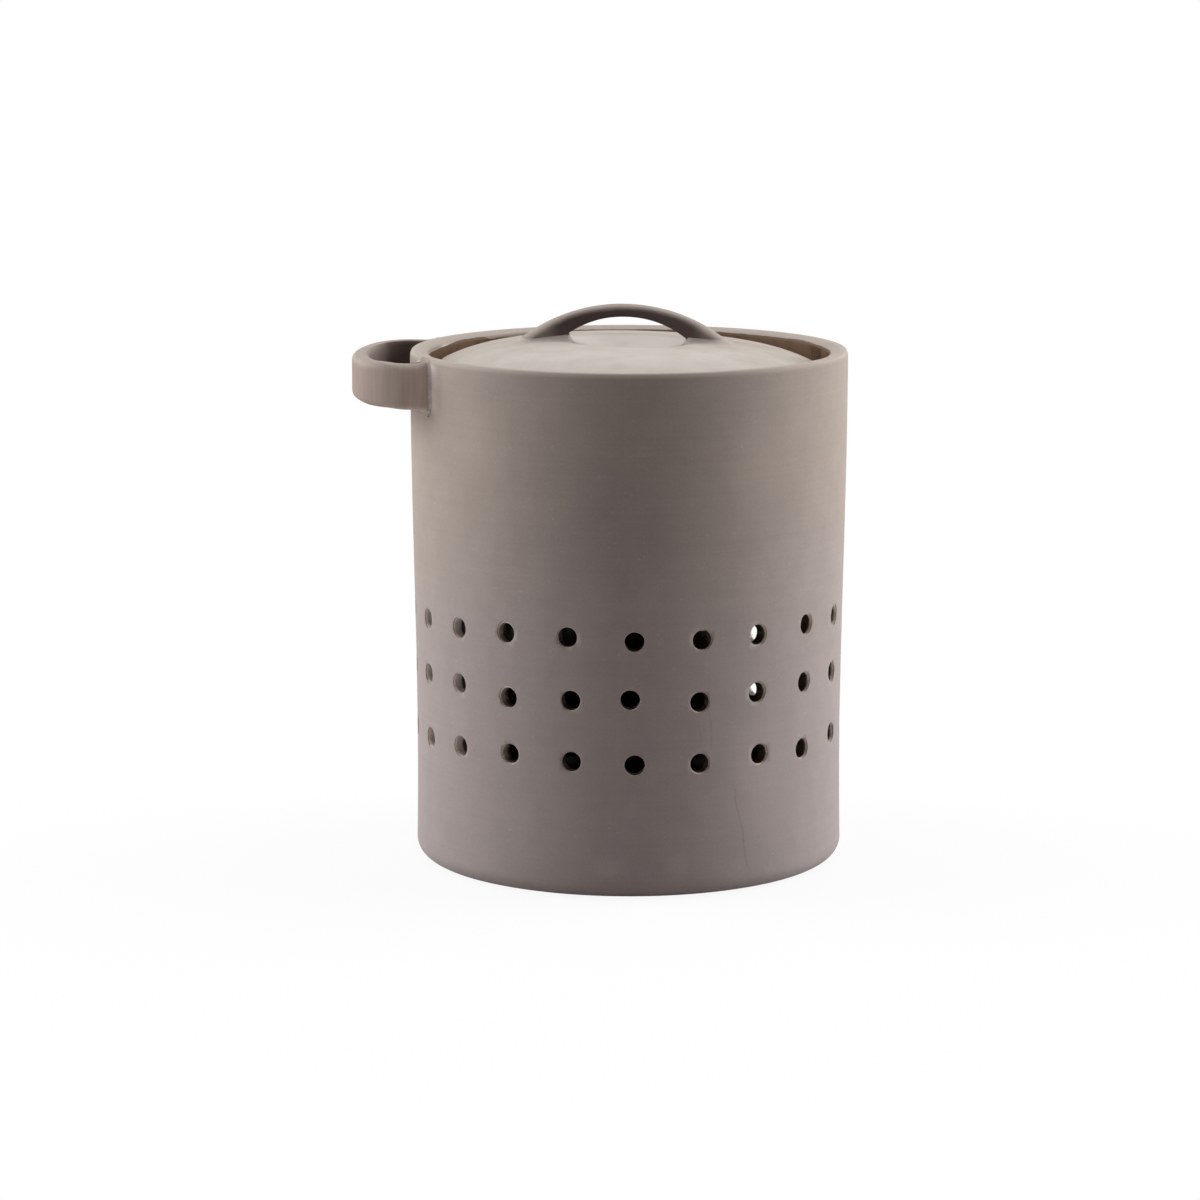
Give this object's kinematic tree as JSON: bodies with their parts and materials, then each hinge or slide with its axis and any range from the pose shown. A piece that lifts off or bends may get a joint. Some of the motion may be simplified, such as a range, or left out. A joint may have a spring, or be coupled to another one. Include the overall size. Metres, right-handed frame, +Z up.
{
  "type": "garlic keeper",
  "caption": "Round stoneware garlic keeper with punched vents, a loop handle at its rim, a glazed inside, and a recessed lid lifted by an arched strap over a finger dish.",
  "frame": {"origin": "middle of the pot's flat underside", "axes": "+Z up through the middle of the pot and lid; the loop handle stands out towards -X; the arch of the lid runs along X, so its finger gap is open along Y"},
  "size_m": [0.1359, 0.12, 0.1525],
  "materials": {
    "stoneware": "matte unglazed grey-brown stoneware, fine speckle",
    "inner_glaze": "glossy transparent brown glaze",
    "luting_slip": "matte, slightly crusty"
  },
  "bodies": {
    "pot": {"pot_body": "stoneware", "pot_glaze": "inner_glaze", "pot_handle": "stoneware", "pot_handle_slip": "luting_slip"},
    "lid": {"lid_plate": "stoneware", "lid_glaze": "inner_glaze", "lid_handle": "stoneware", "lid_handle_slip": "luting_slip"}
  },
  "joints": [
    {"name": "lid_lift", "type": "slide", "parent": "pot", "child": "lid", "axis": [0, 0, 1], "range_m": [0, 0.06]}
  ]
}
